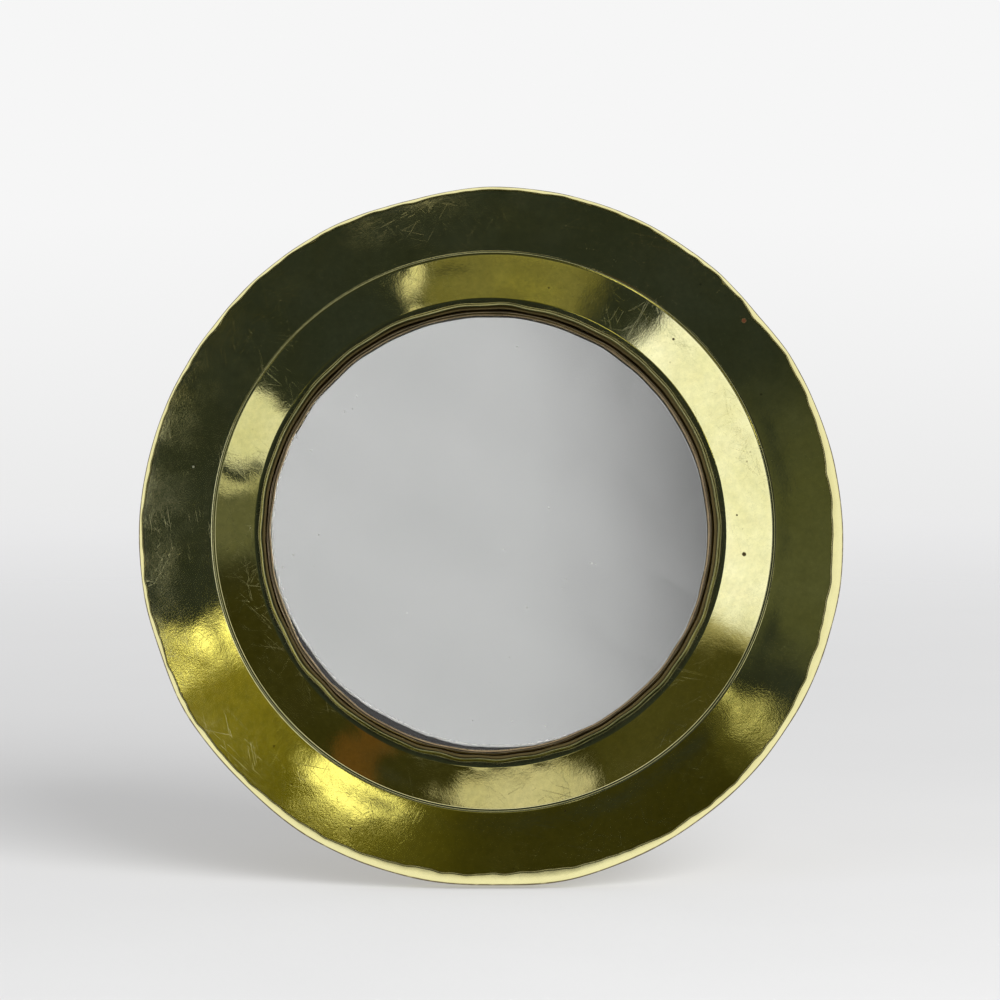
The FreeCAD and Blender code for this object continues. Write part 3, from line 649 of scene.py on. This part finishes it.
def brass_finish(name, brightest, middle, shine, crackle, haziness=0.0, pits=()):
    """Old burnished brass: patches of tarnish, brown spots, worn crests, grime and painted shade,
    crackle, scratches.
    """
    finish = Finish(name)
    patches = finish.ramp(finish.noise(38, 4, 0.6, 0.4), [(0.36, 0.0), (0.66, 1.0)])
    colour = finish.mix(patches, middle, brightest)
    rear = finish.attribute("rear")
    stained = finish.ramp(finish.noise(24, 5, 0.62, 0.5), [(0.34, BACK_STAIN), (0.66, BACK_BROWN)])
    colour = finish.mix(finish.maths("MULTIPLY", rear, 0.9), colour, stained)
    clouds = finish.ramp(finish.noise(160, 5, 0.65), [(0.42, 0.0), (0.72, 1.0)])
    share = finish.maths("MULTIPLY", clouds, 0.18)
    colour = finish.mix(share, colour, BROWN_BRASS)
    mottle = finish.ramp(finish.noise(520, 4, 0.7), [(0.35, 0.0), (0.75, 0.30)])
    colour = finish.mix(mottle, colour, GREEN_MOTTLE)
    spots = finish.ramp(finish.cells(210), [(0.0, 1.0), (0.10, 0.0)])
    rare = finish.ramp(finish.noise(70, 2), [(0.58, 0.0), (0.64, 1.0)])
    colour = finish.mix(finish.maths("MULTIPLY", spots, rare), colour, DARK_BRASS)
    wear = finish.maths("MULTIPLY", finish.attribute("wear"), 0.75, clamp=True)
    colour = finish.mix(wear, colour, brightest)
    # Grime and painted shade: darkened towards DARK_BRASS where the attribute marks creases, the lip's
    # roll and the rim's dark lines
    grime_and_shade = finish.maths("MULTIPLY", finish.attribute("grime_and_shade"),
                         finish.ramp(finish.noise(420, 4), [(0.3, 0.45), (0.65, 1.0)]), clamp=True)
    colour = finish.mix(grime_and_shade, colour, DARK_BRASS)
    # Roughness: burnished where worn, duller in tarnish and where grime and painted shade darken it
    dull = finish.ramp(finish.noise(85, 4, 0.6), [(0.35, shine), (0.7, shine + 0.06)])
    haze = finish.ramp(finish.noise(1700, 5, 0.8), [(0.35, 0.0), (0.75, haziness)])
    haze = finish.maths("MULTIPLY", haze, finish.attribute("brim"))
    dull = finish.maths("ADD", dull, haze)
    dull = finish.maths("ADD", dull, finish.maths("MULTIPLY", rear, 0.17))
    # Rings that spinning left on the back
    rings = finish.add("ShaderNodeTexNoise", noise_dimensions="1D")
    rings.inputs["Scale"].default_value = 1.7
    rings.inputs["Detail"].default_value = 3.0
    finish.join(finish.attribute("radius"), rings.inputs["W"])
    rings = finish.maths("MULTIPLY", rings.outputs["Fac"], rear)
    dull = finish.maths("ADD", dull, finish.maths("MULTIPLY", grime_and_shade, 0.28))
    dull = finish.maths("SUBTRACT", dull, finish.maths("MULTIPLY", wear, 0.05), clamp=True)
    for right, up, radius, stain in pits:
        place = finish.spot(right * MM, up * MM, radius * MM)
        colour = finish.mix(place, colour, stain)
        dull = finish.maths("ADD", dull, finish.maths("MULTIPLY", place, 0.4))
    # Crackle like orange peel, with fine scratches over it
    peel = finish.noise(1300, 2, 0.55)
    normal = finish.bump(peel, crackle, 1.0)
    normal = finish.bump(rings, 0.000030, 1.0, after=normal)
    grain = finish.noise(4200, 1, 0.5)
    normal = finish.bump(grain, crackle * 0.55, 1.0, after=normal)
    sparse = finish.ramp(finish.noise(30, 3, 0.6), [(0.42, 0.0), (0.62, 1.0)])
    for turn, width, length in SCRATCHES:
        lines = finish.noise(1.0, 1, 0.5, 0.6, stretch=(width, 6.0, length), turn=turn)
        hairline = finish.ramp(lines, [(0.69, 0.0), (0.705, 1.0), (0.72, 0.0)])
        hairline = finish.maths("MULTIPLY", hairline, sparse)
        normal = finish.bump(hairline, 0.000005, 0.5, after=normal)
        dull = finish.maths("ADD", dull, finish.maths("MULTIPLY", hairline, 0.14))
    dull = finish.maths("ADD", dull, finish.maths("MULTIPLY", finish.attribute("lip"), 0.30))
    finish.set(Base_Color=colour, Metallic=1.0, Roughness=dull, Normal=normal)
    return finish.material


def glass_finish():
    """Old plate glass, very slightly green, with a rubbed smear on its face."""
    finish = Finish("old_plate_glass")
    smear = finish.ramp(finish.noise(60, 4, 0.6, 1.2), [(0.55, 0.0), (0.75, 0.05)])
    finish.set(Base_Color=(0.97, 0.975, 0.97), Roughness=finish.maths("ADD", smear, 0.01), IOR=1.5)
    finish.shader.inputs["Transmission Weight"].default_value = 1.0
    finish.shader.inputs["Specular IOR Level"].default_value = 0.2
    return finish.material


def foil_finish():
    """Tin foil silvering: clouded grey metal, pinholes, and a whitish chipped fringe at its edge."""
    finish = Finish("tin_foil_silvering")
    clouds = finish.noise(26, 4, 0.55, 0.6)
    colour = finish.ramp(clouds, [(0.3, (0.765, 0.768, 0.762)), (0.7, (0.80, 0.80, 0.795))])
    pins = finish.ramp(finish.cells(260), [(0.05, 1.0), (0.08, 0.0)])
    rare = finish.ramp(finish.noise(70, 3), [(0.52, 0.0), (0.56, 1.0)])
    speck = finish.maths("MULTIPLY", pins, rare)
    edge = finish.maths("ADD", finish.attribute("from_edge"),
                        finish.maths("MULTIPLY", finish.noise(800, 3, 0.7), -1.6))
    fringe = finish.ramp(finish.maths("ADD", edge, 0.5), [(0.0, 1.0), (0.35, 1.0), (0.55, 0.0)])
    pale = finish.maths("MAXIMUM", speck, fringe)
    colour = finish.mix(pale, colour, (0.78, 0.77, 0.73))
    metal = finish.maths("SUBTRACT", 1.0, pale, clamp=True)
    rough = finish.maths("ADD", finish.maths("MULTIPLY", pale, 0.5), 0.05)
    finish.set(Base_Color=colour, Metallic=metal, Roughness=rough)
    return finish.material


def plain_finish(name, first, second, scale, rough, metal=0.0, stretch=None, depth=0.00005,
                 specular=0.5):
    """Two close colours in a cloudy or grained pattern with a little relief."""
    finish = Finish(name)
    finish.shader.inputs["Specular IOR Level"].default_value = specular
    pattern = finish.noise(scale, 5, 0.6, 0.3, stretch=stretch)
    colour = finish.ramp(pattern, [(0.35, first), (0.65, second)])
    dull = finish.ramp(pattern, [(0.3, rough), (0.7, min(rough + 0.12, 1.0))])
    normal = finish.bump(pattern, depth)
    finish.set(Base_Color=colour, Metallic=metal, Roughness=dull, Normal=normal)
    return finish.material


# Pieces

# Pits and a stain: millimetres right and up from the middle, radius, colour
PITS = [(75.2, -4.8, 0.75, DARK_BRASS), (73.2, 6.6, 0.35, DARK_BRASS), (54.5, 58.6, 0.45, DARK_BRASS),
        (75.6, 64.0, 0.9, (0.42, 0.16, 0.07)), (-41.0, -84.5, 0.4, DARK_BRASS),
        (-88.0, 21.0, 0.4, (0.75, 0.70, 0.45)), (22.0, -79.0, 0.35, DARK_BRASS)]
front_brass = brass_finish("burnished_front_brass", BRIGHT_BRASS, OLIVE_BRASS, 0.04, 0.000007,
                           0.05, PITS)
pan_brass = brass_finish("spun_pan_brass", BRIGHT_BRASS, (0.68, 0.62, 0.25), 0.12, 0.000008)
bead_brass = brass_finish("tarnished_bead_brass", (0.50, 0.38, 0.22), (0.17, 0.11, 0.06),
                          0.16, 0.000010)

make_front_shell(front_brass)
make_back_pan(pan_brass)
make_bead_ring(bead_brass)
make_glass(glass_finish())
make_foil(foil_finish())

bail_brass = brass_finish("bail_wire_brass", (0.66, 0.55, 0.24), (0.46, 0.37, 0.13), 0.22, 0.000012)
strap_brass = brass_finish("strap_brass", (0.62, 0.51, 0.21), (0.42, 0.34, 0.12), 0.24, 0.000012)
rivet_copper = plain_finish("dull_copper", (0.34, 0.15, 0.08), (0.52, 0.25, 0.13), 900, 0.30, 1.0)
rim_iron = plain_finish("rim_iron", (0.16, 0.14, 0.13), (0.30, 0.27, 0.25), 500, 0.5, 1.0)
make_rim_ring(rim_iron)
tab_brass = plain_finish("tab_brass", (0.42, 0.34, 0.14), (0.60, 0.50, 0.22), 400, 0.42, 1.0)
# The felt seen through the bare glass is made near black: its own dark colour deepened as painted shade
felt = plain_finish("felt_darkened_as_shade", (0.006, 0.005, 0.005), (0.016, 0.012, 0.011), 1800, 0.9,
                    depth=0.0002, specular=0.08)
board_wood = plain_finish("board_wood", (0.36, 0.23, 0.12), (0.52, 0.36, 0.21), 1.0, 0.7,
                          stretch=(40.0, 400.0, 400.0))
packing_wood = plain_finish("packing_wood", (0.30, 0.20, 0.11), (0.45, 0.31, 0.19), 1.0, 0.7,
                            stretch=(60.0, 500.0, 500.0))
KEPT_NODES = {"bail": bail_brass, "bail_strap_left": strap_brass, "bail_strap_right": strap_brass,
              "rivets": rivet_copper, "rivet_burrs": rivet_copper,
              "glass_tabs": tab_brass, "felt_pad": felt, "backing_board": board_wood,
              "packing_ring": packing_wood}
for node_name, material in KEPT_NODES.items():
    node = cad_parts[node_name]
    node.data.materials.clear()
    node.data.materials.append(material)


# Stage: floor, sky, lamps and camera

FACE_MIDDLE = Vector((0.0, MIDDLE_Y, MIDDLE_Z))
CAMERA_DISTANCE = 1.20
CAMERA_RISE = math.radians(4.0)
PICTURE_WIDTH = 0.2991      # metres across the picture at the mirror
AIM_RIGHT = 2.9 * MM
AIM_UP = 10.4 * MM
FLOOR_RADIUS = 2.0
FLOOR_GLOW = 0.31           # added to the lit floor for the camera
PLAIN_FILL = 0.42
ROOM_IN_FRONT = (0.031, 0.038, 0.038)
TENT_SIDES = (1.10, 1.09, 1.20)
ROOM_BEHIND = (0.24, 0.235, 0.21)
TENT_OPENING = 63.0         # degrees off the mirror's front at which the pale sides begin
HAZE_ACROSS = [(0.10, 0.71), (0.55, 0.70), (0.72, 0.58), (0.84, 0.42), (0.97, 0.24)]
HAZE_CORNER = [(0.25, 1.0), (0.55, 0.80), (0.85, 0.20)]
HAZE_BAND = 0.030
TENT_OPENING_SOFTNESS = 0.04
WALL_ZONE = (71.0, 82.5)    # radii in millimetres
BRIM_ZONE = (85.0, 103.0)
CARD_SPREAD = 0.40          # degrees a normal tips on for each millimetre past its zone
CARD_DISTANCE = 1.6         # metres from the face
NEAR_CARD = 1.56
FAR_CARD = 1.7
WINDOW_RISE = math.radians(16.0)
WINDOW_HALF = math.radians(6.0)
WINDOW_EDGE = math.radians(9.5)


def make_floor():
    """Pale round floor that fades into the background far from the mirror and keeps its shadow."""
    finish = Finish("pale_floor")
    tint = finish.ramp(finish.noise(6, 3), [(0.3, (0.44, 0.44, 0.44)), (0.7, (0.46, 0.46, 0.46))])
    finish.set(Base_Color=tint, Roughness=0.9, Emission_Color=(1.0, 1.0, 1.0))
    finish.shader.inputs["Specular IOR Level"].default_value = 0.0
    in_view = finish.add("ShaderNodeLightPath").outputs["Is Camera Ray"]
    finish.join(finish.maths("MULTIPLY", in_view, FLOOR_GLOW), finish.shader.inputs["Emission Strength"])
    length = finish.add("ShaderNodeVectorMath", operation="LENGTH")
    finish.join(finish.place, length.inputs[0])
    fade = finish.ramp(finish.maths("DIVIDE", length.outputs["Value"], FLOOR_RADIUS),
                       [(0.10, 1.0), (0.80, 0.0)])
    finish.set(Alpha=fade)
    mesh = bpy.data.meshes.new("floor")
    ring = np.linspace(0, 2 * np.pi, 96, endpoint=False)
    points = np.stack([np.cos(ring), np.sin(ring), np.full_like(ring, -0.0001)], axis=-1)
    points[:, :2] *= FLOOR_RADIUS
    mesh.from_pydata(points.tolist(), [], [list(range(96))])
    mesh.materials.append(finish.material)
    floor = bpy.data.objects.new("floor", mesh)
    floor.visible_glossy = False
    bpy.context.scene.collection.objects.link(floor)


def make_world():
    """Pale to the camera; in reflections a dark room in front of the mirror and a pale one behind.

    Straight out from the glass hangs a grey haze, lighter to the left, which the glass shows.
    """
    world = bpy.data.worlds.new("studio")
    bpy.context.scene.world = world
    world.use_nodes = True
    tree = world.node_tree
    back = tree.nodes["Background"]
    direction = tree.nodes.new("ShaderNodeTexCoord").outputs["Generated"]

    def along(vector):
        node = tree.nodes.new("ShaderNodeVectorMath")
        node.operation = "DOT_PRODUCT"
        node.inputs[1].default_value = vector
        tree.links.new(direction, node.inputs[0])
        return node.outputs["Value"]

    def levels(value, low, high, stops):
        spread = tree.nodes.new("ShaderNodeMapRange")
        spread.inputs["From Min"].default_value = low
        spread.inputs["From Max"].default_value = high
        tree.links.new(value, spread.inputs["Value"])
        ramp = tree.nodes.new("ShaderNodeValToRGB")
        fill_ramp(ramp.color_ramp, stops)
        tree.links.new(spread.outputs[0], ramp.inputs["Fac"])
        return ramp.outputs["Color"]

    def times(first, second):
        node = tree.nodes.new("ShaderNodeVectorMath")
        node.operation = "MULTIPLY"
        tree.links.new(first, node.inputs[0])
        tree.links.new(second, node.inputs[1])
        return node.outputs["Vector"]

    def mixed(share, first, second):
        node = tree.nodes.new("ShaderNodeMix")
        node.data_type = "RGBA"
        tree.links.new(share, node.inputs[0])
        tree.links.new(first, node.inputs[6])
        tree.links.new(second, node.inputs[7])
        return node.outputs[2]

    # Places along the ramp: 0 is straight out from the face, 1 straight behind it
    opening = (1 - math.cos(math.radians(TENT_OPENING))) / 2
    room = levels(along((0.0, 1.0, 0.0)), -1.0, 1.0,
                  [(opening - TENT_OPENING_SOFTNESS, ROOM_IN_FRONT),
                   (opening + TENT_OPENING_SOFTNESS, TENT_SIDES), (0.90, TENT_SIDES),
                   (0.96, ROOM_BEHIND)])
    window = levels(along((0.0, -math.cos(WINDOW_RISE), math.sin(WINDOW_RISE))),
                    math.cos(WINDOW_EDGE), math.cos(WINDOW_HALF), [(0.0, 0.0), (1.0, 1.0)])
    # The haze falls off to the right, more so at the top, with faint bands running down to the right
    haze = times(levels(along((1.0, 0.0, 0.0)), -0.06, 0.06, HAZE_ACROSS),
                 levels(along((0.80, 0.0, 0.60)), 0.16, 0.26, HAZE_CORNER))
    bands = tree.nodes.new("ShaderNodeMath")
    bands.operation = "SINE"
    slanted = tree.nodes.new("ShaderNodeMath")
    slanted.operation = "MULTIPLY"
    slanted.inputs[1].default_value = 2 * math.pi / HAZE_BAND
    tree.links.new(along((0.45, 0.0, 0.89)), slanted.inputs[0])
    tree.links.new(slanted.outputs[0], bands.inputs[0])
    haze = times(haze, levels(bands.outputs[0], -1.0, 1.0, [(0.0, 0.955), (1.0, 1.0)]))
    room = mixed(window, room, haze)
    sky = levels(along((0.0, 0.0, 1.0)), -0.07, 0.0, [(0.0, 0.83), (0.55, 0.885), (1.0, 0.922)])
    path = tree.nodes.new("ShaderNodeLightPath")
    plain = tree.nodes.new("ShaderNodeRGB")
    plain.outputs[0].default_value = (PLAIN_FILL, PLAIN_FILL, PLAIN_FILL, 1.0)
    room = mixed(path.outputs["Is Diffuse Ray"], room, plain.outputs[0])
    tree.links.new(mixed(path.outputs["Is Camera Ray"], room, sky), back.inputs["Color"])


def add_lamp(name, place, aim, width, height, radiance):
    """Large soft lamp whose surface has the given brightness, out of sight of camera and metal."""
    lamp = bpy.data.lights.new(name, "AREA")
    lamp.shape = "RECTANGLE"
    lamp.size = width
    lamp.size_y = height
    lamp.energy = radiance * math.pi * width * height
    thing = bpy.data.objects.new(name, lamp)
    thing.location = place
    thing.rotation_euler = (aim - place).to_track_quat("-Z", "Y").to_euler()
    thing.visible_camera = False
    thing.visible_glossy = False
    bpy.context.scene.collection.objects.link(thing)


def camera_place():
    """Where the camera stands, and the way back from the aim to it."""
    aim = FACE_MIDDLE + Vector((AIM_RIGHT, 0.0, AIM_UP))
    back = Vector((0.0, -math.cos(CAMERA_RISE), math.sin(CAMERA_RISE)))
    return aim + back * CAMERA_DISTANCE, back


def thrown(azimuth, radius, zone, distance):
    """Where spots of the face throw the camera's line of sight, that far from each spot.

    A spot is at an angle round the mirror, in degrees, and a radius in millimetres. Its normal is
    the cross product of the face's own slopes there. Past the zone's two radii the normal tips
    on by CARD_SPREAD degrees for each millimetre, so that a card reaches past its zone.
    The line of sight is mirrored: out = sight - 2 (sight . normal) normal.
    """
    turn = np.radians(azimuth) + 0 * radius
    kept = np.clip(radius, *zone) * MM + 0 * azimuth
    line = wall_line if zone is WALL_ZONE else brim_line
    step_r, step_turn = 0.5 * MM, math.radians(2.0)

    def spot_at(r, angle):
        return in_place(r, angle, line(r))

    along_r = spot_at(kept + step_r, turn) - spot_at(kept - step_r, turn)
    along_turn = spot_at(kept, turn + step_turn) - spot_at(kept, turn - step_turn)
    normal = np.cross(along_r, along_turn)
    normal /= np.linalg.norm(normal, axis=-1, keepdims=True)
    outwards = leaned(np.cos(turn), np.sin(turn), 0 * turn, clamp=False) - np.array(FACE_MIDDLE)
    extra = np.tan(np.radians(CARD_SPREAD * (radius - np.clip(radius, *zone))))
    normal = normal + outwards * (extra + 0 * turn)[..., None]
    normal /= np.linalg.norm(normal, axis=-1, keepdims=True)
    spot = spot_at(kept, turn)
    sight = spot - np.array(camera_place()[0])
    sight /= np.linalg.norm(sight, axis=-1, keepdims=True)
    out = sight - 2 * (sight * normal).sum(-1, keepdims=True) * normal
    return spot + out * distance


def fall_off(value, low, high, low_fade, high_fade):
    """1 between low and high, falling smoothly to 0 over a fade on either side."""
    up = np.clip((value - low) / low_fade + 1, 0, 1)
    down = np.clip((high - value) / high_fade + 1, 0, 1)
    share = np.minimum(up, down)
    return share * share * (3 - 2 * share)


def add_card(name, zone, turn, fades, radiance, radii=None, radii_fades=(2, 2), skew=0.0,
             taper=(1.0, 1.0), distance=CARD_DISTANCE):
    """Bent softbox seen only in the metal, where the face shows it over some angles and radii.

    Its brightness falls off smoothly past its edges, over the fades given. Skew leans its ends by
    degrees of turn for each millimetre of radius; taper is its share of the turn at either radius.
    """
    radii = radii or ((66, 88) if zone is WALL_ZONE else (81, 107))
    across = np.linspace(radii[0] - radii_fades[0], radii[1] + radii_fades[1], 28)[None, :]
    along = np.linspace(turn[0] - fades[0], turn[1] + fades[1], 60)[:, None]
    middle = (turn[0] + turn[1]) / 2
    leant = middle + (along - middle) * np.interp(across, radii, taper)
    leant = leant + skew * (across - (radii[0] + radii[1]) / 2)
    points = thrown(leant, across + 0 * along, zone, distance)
    glow = fall_off(along, *turn, *fades) * fall_off(across, *radii, *radii_fades)
    index = np.arange(points.shape[0] * points.shape[1]).reshape(points.shape[:2])
    faces = np.stack([index[:-1, :-1], index[1:, :-1], index[1:, 1:], index[:-1, 1:]], axis=-1)
    mesh = mesh_from(name, points.reshape(-1, 3), faces.reshape(-1, 4), {"glow": glow})
    finish = Finish(name)
    tree = finish.tree
    light = finish.add("ShaderNodeEmission")
    light.inputs["Color"].default_value = (*radiance, 1.0)
    clear = finish.add("ShaderNodeBsdfTransparent")
    blend = finish.add("ShaderNodeMixShader")
    tree.links.new(finish.attribute("glow"), blend.inputs[0])
    tree.links.new(clear.outputs[0], blend.inputs[1])
    tree.links.new(light.outputs[0], blend.inputs[2])
    tree.links.new(blend.outputs[0], tree.nodes["Material Output"].inputs["Surface"])
    tree.nodes.remove(finish.shader)
    finish.material.cycles.emission_sampling = "NONE"
    mesh.materials.append(finish.material)
    card = bpy.data.objects.new(name, mesh)
    card.visible_camera = card.visible_diffuse = card.visible_shadow = False
    bpy.context.scene.collection.objects.link(card)


def make_lamps():
    """One large lamp, and the cards that the wall and the brim show, going round from the right."""
    add_lamp("key", Vector((0.9, -1.4, 0.9)), Vector((0.0, 0.0, 0.05)), 1.3, 1.3, 10.0)
    # Seen in the wall
    add_card("left_softbox", WALL_ZONE, (-18, 51), (6, 1.5), (1.28, 1.30, 1.60), skew=-0.1)
    add_card("left_softbox_foot", WALL_ZONE, (-24, -14), (6, 6), (0.5, 0.46, 0.30), (72, 88), (8, 2))
    add_card("top_glow", WALL_ZONE, (70, 102), (7, 5), (0.22, 0.205, 0.085))
    add_card("top_patch", WALL_ZONE, (77, 87), (5, 3), (0.50, 0.46, 0.14), (77, 88), (4, 2))
    add_card("top_left_patch", WALL_ZONE, (106, 110), (1.0, 1.0), (1.05, 1.0, 0.8), (77, 88), (3, 2),
             taper=(0.1, 1.0))
    add_card("right_softbox", WALL_ZONE, (148, 164), (1.2, 3), (0.95, 0.95, 0.95), (68, 88), (4, 2),
             taper=(0.6, 1.0))
    add_card("right_strip", WALL_ZONE, (167.5, 169.5), (0.8, 1.5), (0.62, 0.61, 0.50), skew=0.25)
    add_card("right_glow_end", WALL_ZONE, (172, 180), (3, 9), (0.15, 0.155, 0.11), skew=0.3)
    add_card("warm_room", WALL_ZONE, (195, 325), (14, 8), (0.042, 0.040, 0.012), distance=FAR_CARD)
    add_card("warm_foot", WALL_ZONE, (298, 336), (6, 4), (0.075, 0.070, 0.022), distance=1.68)
    add_card("brown_board", WALL_ZONE, (237, 244), (2, 2), (0.13, 0.068, 0.02), skew=-0.25)
    add_card("front_panel", WALL_ZONE, (262, 289), (3, 4), (0.72, 0.68, 0.60), (73, 88), (3, 2),
             taper=(0.30, 1.15))
    # Seen in the brim
    add_card("low_left_glow", BRIM_ZONE, (204, 240), (9, 34), (0.145, 0.129, 0.012))
    add_card("low_left_warmth", BRIM_ZONE, (204, 216), (4, 16), (0.24, 0.21, 0.030),
             skew=-0.2, distance=1.58)
    add_card("low_right_glow", BRIM_ZONE, (262, 320), (12, 12), (0.044, 0.041, 0.009),
             distance=1.62)
    add_card("left_streak", BRIM_ZONE, (200.4, 202.0), (0.8, 2.6), (2.3, 2.15, 1.0),
             taper=(1.6, 0.4), distance=NEAR_CARD)
    add_card("low_left_patch", BRIM_ZONE, (231, 249), (2, 2), (1.8, 1.7, 0.8), (81, 87.5), (2, 2.5),
             taper=(1.0, 0.12), skew=-0.2, distance=NEAR_CARD)
    add_card("low_right_streak", BRIM_ZONE, (323, 327), (0.8, 0.8), (1.2, 1.15, 0.65), (84, 95), (1, 4),
             taper=(1.0, 0.3), skew=0.25, distance=NEAR_CARD)
    add_card("low_right_halo", BRIM_ZONE, (319, 324), (5, 3), (0.09, 0.085, 0.025), radii_fades=(1, 3))
    add_card("right_glow", BRIM_ZONE, (342, 366), (9, 30), (0.10, 0.108, 0.065))


def make_camera():
    """A long lens at the photograph's angle, framed so that the mirror fills it as it does there."""
    camera = bpy.data.cameras.new("camera")
    camera.sensor_width = 36.0
    camera.lens = camera.sensor_width * CAMERA_DISTANCE / PICTURE_WIDTH
    thing = bpy.data.objects.new("camera", camera)
    thing.location, back = camera_place()
    thing.rotation_euler = (-back).to_track_quat("-Z", "Y").to_euler()
    bpy.context.scene.collection.objects.link(thing)
    bpy.context.scene.camera = thing


make_floor()
make_world()
make_lamps()
make_camera()
bpy.context.scene.view_settings.view_transform = "Standard"
